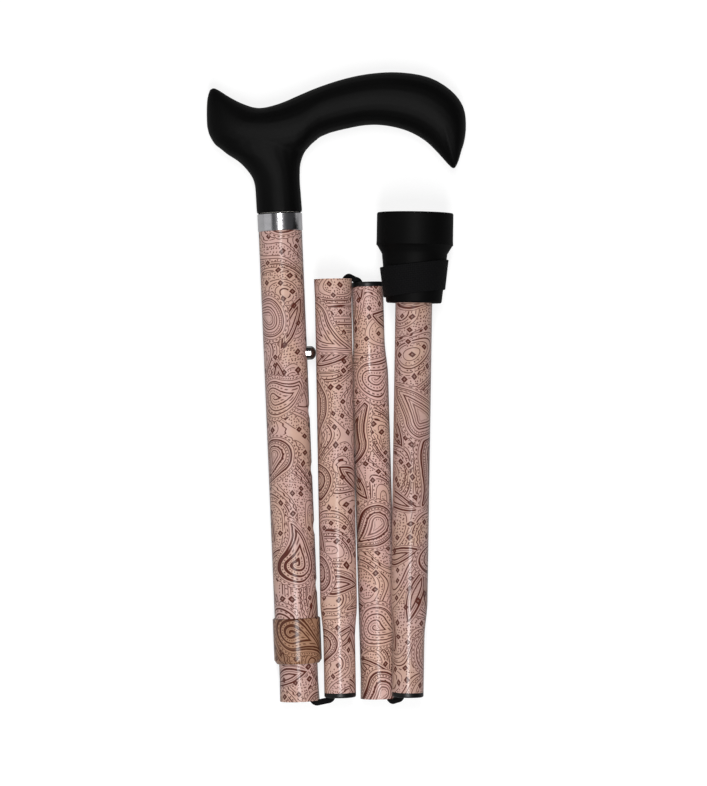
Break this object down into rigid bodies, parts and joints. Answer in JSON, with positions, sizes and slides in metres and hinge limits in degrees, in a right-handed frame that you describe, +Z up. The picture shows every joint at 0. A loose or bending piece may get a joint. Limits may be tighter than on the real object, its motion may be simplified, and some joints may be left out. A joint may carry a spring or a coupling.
{
  "type": "folding cane",
  "caption": "Folding walking cane with a derby handle, sliding height adjustment with snap button and lock collar, corded tube sections and a rubber foot, shown folded.",
  "frame": {"origin": "on the upper shaft's axis, at the lower edge of the polished ring under the handle", "axes": "+Y along the shaft towards the handle, +X towards the folded sections, +Z up from the table it lies on"},
  "size_m": [0.1131, 0.2757, 0.0378],
  "materials": {
    "soft_touch": "matte soft-touch",
    "polished_ring": "polished",
    "printed_tube": "glossy printed paisley",
    "collar_print": "glossy printed paisley",
    "bright_steel": "polished",
    "plain_steel": "plain",
    "nylon": "moulded",
    "black_plastic": "moulded",
    "elastic": "woven",
    "black_rubber": "moulded"
  },
  "bodies": {
    "upper_shaft": {"handle_grip": "soft_touch", "handle_core": "nylon", "handle_screw": "plain_steel", "handle_ring": "polished_ring", "outer_tube": "printed_tube", "squeeze_ring": "nylon"},
    "lock_collar": {"lock_collar": "collar_print"},
    "inner_shaft": {"inner_tube": "printed_tube", "guide_bush": "black_plastic", "snap_spring": "plain_steel", "cord_anchor_upper": "black_plastic", "cord_knot_upper": "elastic", "cord_upper": "elastic"},
    "snap_button": {"snap_button": "bright_steel"},
    "link_1": {"cord_fold_1": "elastic"},
    "second_section": {"second_tube": "printed_tube", "nose_plug_1": "black_plastic", "cord_second": "elastic"},
    "link_2": {"cord_fold_2": "elastic"},
    "third_section": {"third_tube": "printed_tube", "nose_plug_2": "black_plastic", "cord_third": "elastic"},
    "link_3": {"cord_fold_3": "elastic"},
    "foot_section": {"foot_tube": "printed_tube", "nose_plug_3": "black_plastic", "cord_foot": "elastic", "cord_anchor_lower": "black_plastic", "cord_knot_lower": "elastic", "ferrule": "black_rubber", "ferrule_washer": "plain_steel", "storage_band": "elastic"}
  },
  "joints": [
    {"name": "height_slide", "type": "slide", "parent": "upper_shaft", "child": "inner_shaft", "axis": [0, -1, 0], "range_m": [0, 0.1016], "deforming": ["snap_button"]},
    {"name": "button_press", "type": "slide", "parent": "inner_shaft", "child": "snap_button", "axis": [-1, 0, 0], "range_m": [0, 0.005], "stiffness_N_per_m": 600, "deforming": ["snap_spring"]},
    {"name": "collar_turn", "type": "hinge", "parent": "upper_shaft", "child": "lock_collar", "pos_m": [0, -0.1785, 0], "axis": [0, -1, 0], "range_deg": [0, 360]},
    {"name": "fold_1", "type": "hinge", "parent": "inner_shaft", "child": "link_1", "pos_m": [0.00885, -0.2054, 0.00252], "axis": [0.274, -0.0033, -0.9617], "range_deg": [0, 178.67], "deforming": ["cord_fold_1"]},
    {"name": "engage_1", "type": "slide", "parent": "link_1", "child": "second_section", "axis": [-0.0241, -0.9997, 0], "range_m": [0, 0.0332], "deforming": ["cord_upper", "cord_second"]},
    {"name": "fold_2", "type": "hinge", "parent": "link_2", "child": "third_section", "pos_m": [0.02957, -0.02165, 0.00141], "axis": [0.4383, -0.0079, 0.8988], "range_deg": [0, 179.37], "deforming": ["cord_fold_2"]},
    {"name": "engage_2", "type": "slide", "parent": "second_section", "child": "link_2", "axis": [-0.0241, -0.9997, 0], "range_m": [0, 0.03321], "deforming": ["cord_second", "cord_third"]},
    {"name": "fold_3", "type": "hinge", "parent": "link_3", "child": "foot_section", "pos_m": [0.04087, -0.20599, 0.00343], "axis": [0.6817, -0.0236, -0.7313], "range_deg": [0, 178.1], "deforming": ["cord_fold_3"]},
    {"name": "engage_3", "type": "slide", "parent": "third_section", "child": "link_3", "axis": [0.0119, 0.9999, 0], "range_m": [0, 0.03321], "deforming": ["cord_third", "cord_foot"]}
  ],
  "couplings": [
    {"joint": "fold_2", "follows": "fold_1", "ratio": 1.0039},
    {"joint": "fold_3", "follows": "fold_1", "ratio": 0.99679},
    {"joint": "engage_2", "follows": "engage_1", "ratio": 1},
    {"joint": "engage_3", "follows": "engage_1", "ratio": 1}
  ]
}
